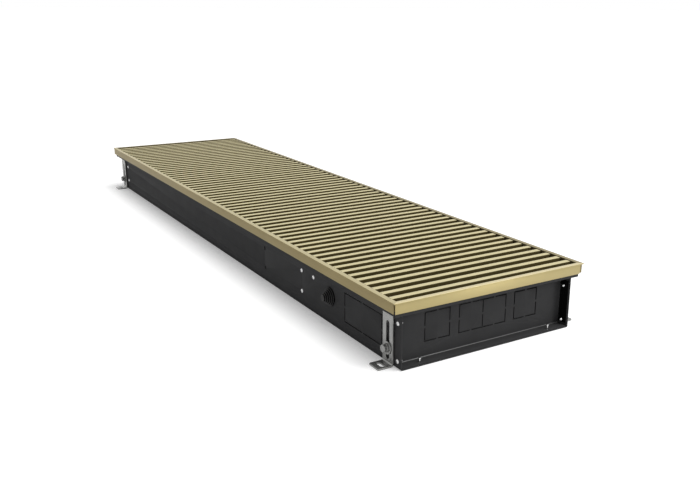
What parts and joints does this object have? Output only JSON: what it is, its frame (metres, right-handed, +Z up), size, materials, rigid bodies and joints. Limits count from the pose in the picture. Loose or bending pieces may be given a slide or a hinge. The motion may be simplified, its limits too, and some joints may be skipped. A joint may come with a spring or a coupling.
{
  "type": "trench convector heater",
  "caption": "Floor trench convector: black sheet trough with adjustable feet, finned coil and cross-flow fan under a gold roll-up cross grille in a clip-on rim.",
  "frame": {"origin": "centre of the bounding box, on the plane that the trough and the feet stand on", "axes": "+X along the trench towards the connection end, +Y across it, +Z up"},
  "size_m": [1.2, 0.316, 0.09],
  "materials": {
    "black_sheet": "satin black powder coat on folded sheet steel",
    "gold_rim": "satin champagne-gold anodised aluminium",
    "gold_slat": "satin pale gold anodised aluminium",
    "black_rubber": "matt black rubber",
    "bright_rivet": "bright aluminium blind rivets",
    "black_screw": "blackened steel",
    "foot_steel": "bright zinc-plated steel",
    "zinc": "zinc-plated steel",
    "copper": "drawn copper tube",
    "fin_aluminium": "mill-finish aluminium foil",
    "brass": "turned brass",
    "motor_black": "black finish",
    "grey_plastic": "grey moulded plastic",
    "white_plastic": "white moulded plastic"
  },
  "bodies": {
    "trough": {"trough": "black_sheet", "end_plate_near": "black_sheet", "end_plate_far": "black_sheet", "rim_front": "gold_rim", "rim_rear": "gold_rim", "rim_near": "gold_rim", "rim_far": "gold_rim", "rim_corner_keys": "gold_rim", "ledge_strips": "black_rubber", "end_rivets": "bright_rivet", "wall_rivets": "bright_rivet", "black_screws": "black_screw", "cable_grommet": "black_rubber", "near_bulkhead": "black_sheet", "far_bulkhead": "black_sheet", "exchanger_tubes": "copper", "return_bends": "copper", "exchanger_fins": "fin_aluminium", "exchanger_cradles": "zinc", "supply_union": "brass", "return_union": "brass", "bleed_valve": "brass", "fan_housing": "black_sheet", "fan_motor": "motor_black", "motor_bracket": "zinc", "motor_lead": "black_rubber", "fan_bearing": "grey_plastic", "control_box": "grey_plastic", "control_box_lid": "grey_plastic", "terminal_block": "white_plastic", "foot_backing_plates": "zinc", "foot_nuts": "zinc", "foot_bolts": "zinc", "foot_washers": "zinc"},
    "fan": {"fan_rotor": "motor_black", "fan_shaft": "zinc"},
    "bleed_screw": {"bleed_screw": "zinc"},
    "foot_near_front": {"foot_near_front": "foot_steel"},
    "foot_near_rear": {"foot_near_rear": "foot_steel"},
    "foot_far_front": {"foot_far_front": "foot_steel"},
    "foot_far_rear": {"foot_far_rear": "foot_steel"},
    "grille": {"grille_slats": "gold_slat", "grille_spacers": "black_rubber", "grille_springs": "zinc"},
    "roll_1": {"roll_slat_1": "gold_slat", "roll_link_1": "black_rubber"},
    "roll_2": {"roll_slat_2": "gold_slat", "roll_link_2": "black_rubber"},
    "roll_3": {"roll_slat_3": "gold_slat", "roll_link_3": "black_rubber"},
    "roll_4": {"roll_slat_4": "gold_slat", "roll_link_4": "black_rubber"},
    "roll_5": {"roll_slat_5": "gold_slat", "roll_link_5": "black_rubber"},
    "roll_6": {"roll_slat_6": "gold_slat", "roll_link_6": "black_rubber"},
    "roll_7": {"roll_slat_7": "gold_slat", "roll_link_7": "black_rubber"},
    "roll_8": {"roll_slat_8": "gold_slat", "roll_link_8": "black_rubber"}
  },
  "joints": [
    {"name": "grille_lift", "type": "slide", "parent": "trough", "child": "grille", "axis": [0, 0, 1], "range_m": [0, 0.15]},
    {"name": "roll_up_1", "type": "hinge", "parent": "grille", "child": "roll_1", "pos_m": [0.43894, 0, 0.0828], "axis": [0, -1, 0], "range_deg": [0, 20]},
    {"name": "roll_up_2", "type": "hinge", "parent": "roll_1", "child": "roll_2", "pos_m": [0.45822, 0, 0.0828], "axis": [0, -1, 0], "range_deg": [0, 20]},
    {"name": "roll_up_3", "type": "hinge", "parent": "roll_2", "child": "roll_3", "pos_m": [0.4775, 0, 0.0828], "axis": [0, -1, 0], "range_deg": [0, 20]},
    {"name": "roll_up_4", "type": "hinge", "parent": "roll_3", "child": "roll_4", "pos_m": [0.49678, 0, 0.0828], "axis": [0, -1, 0], "range_deg": [0, 20]},
    {"name": "roll_up_5", "type": "hinge", "parent": "roll_4", "child": "roll_5", "pos_m": [0.51606, 0, 0.0828], "axis": [0, -1, 0], "range_deg": [0, 20]},
    {"name": "roll_up_6", "type": "hinge", "parent": "roll_5", "child": "roll_6", "pos_m": [0.53534, 0, 0.0828], "axis": [0, -1, 0], "range_deg": [0, 20]},
    {"name": "roll_up_7", "type": "hinge", "parent": "roll_6", "child": "roll_7", "pos_m": [0.55462, 0, 0.0828], "axis": [0, -1, 0], "range_deg": [0, 20]},
    {"name": "roll_up_8", "type": "hinge", "parent": "roll_7", "child": "roll_8", "pos_m": [0.5739, 0, 0.0828], "axis": [0, -1, 0], "range_deg": [0, 20]},
    {"name": "foot_near_front_slide", "type": "slide", "parent": "trough", "child": "foot_near_front", "axis": [0, 0, -1], "range_m": [0, 0.03]},
    {"name": "foot_near_rear_slide", "type": "slide", "parent": "trough", "child": "foot_near_rear", "axis": [0, 0, -1], "range_m": [0, 0.03]},
    {"name": "foot_far_front_slide", "type": "slide", "parent": "trough", "child": "foot_far_front", "axis": [0, 0, -1], "range_m": [0, 0.03]},
    {"name": "foot_far_rear_slide", "type": "slide", "parent": "trough", "child": "foot_far_rear", "axis": [0, 0, -1], "range_m": [0, 0.03]},
    {"name": "fan_spin", "type": "hinge", "parent": "trough", "child": "fan", "pos_m": [0, -0.088, 0.036], "axis": [1, 0, 0], "continuous": true},
    {"name": "bleed_turn", "type": "hinge", "parent": "trough", "child": "bleed_screw", "pos_m": [0.3645, 0.0711, 0.07], "axis": [0, 0, 1], "range_deg": [0, 270]}
  ],
  "couplings": [
    {"joint": "roll_up_2", "follows": "roll_up_1", "ratio": 1},
    {"joint": "roll_up_3", "follows": "roll_up_1", "ratio": 1},
    {"joint": "roll_up_4", "follows": "roll_up_1", "ratio": 1},
    {"joint": "roll_up_5", "follows": "roll_up_1", "ratio": 1},
    {"joint": "roll_up_6", "follows": "roll_up_1", "ratio": 1},
    {"joint": "roll_up_7", "follows": "roll_up_1", "ratio": 1},
    {"joint": "roll_up_8", "follows": "roll_up_1", "ratio": 1}
  ]
}
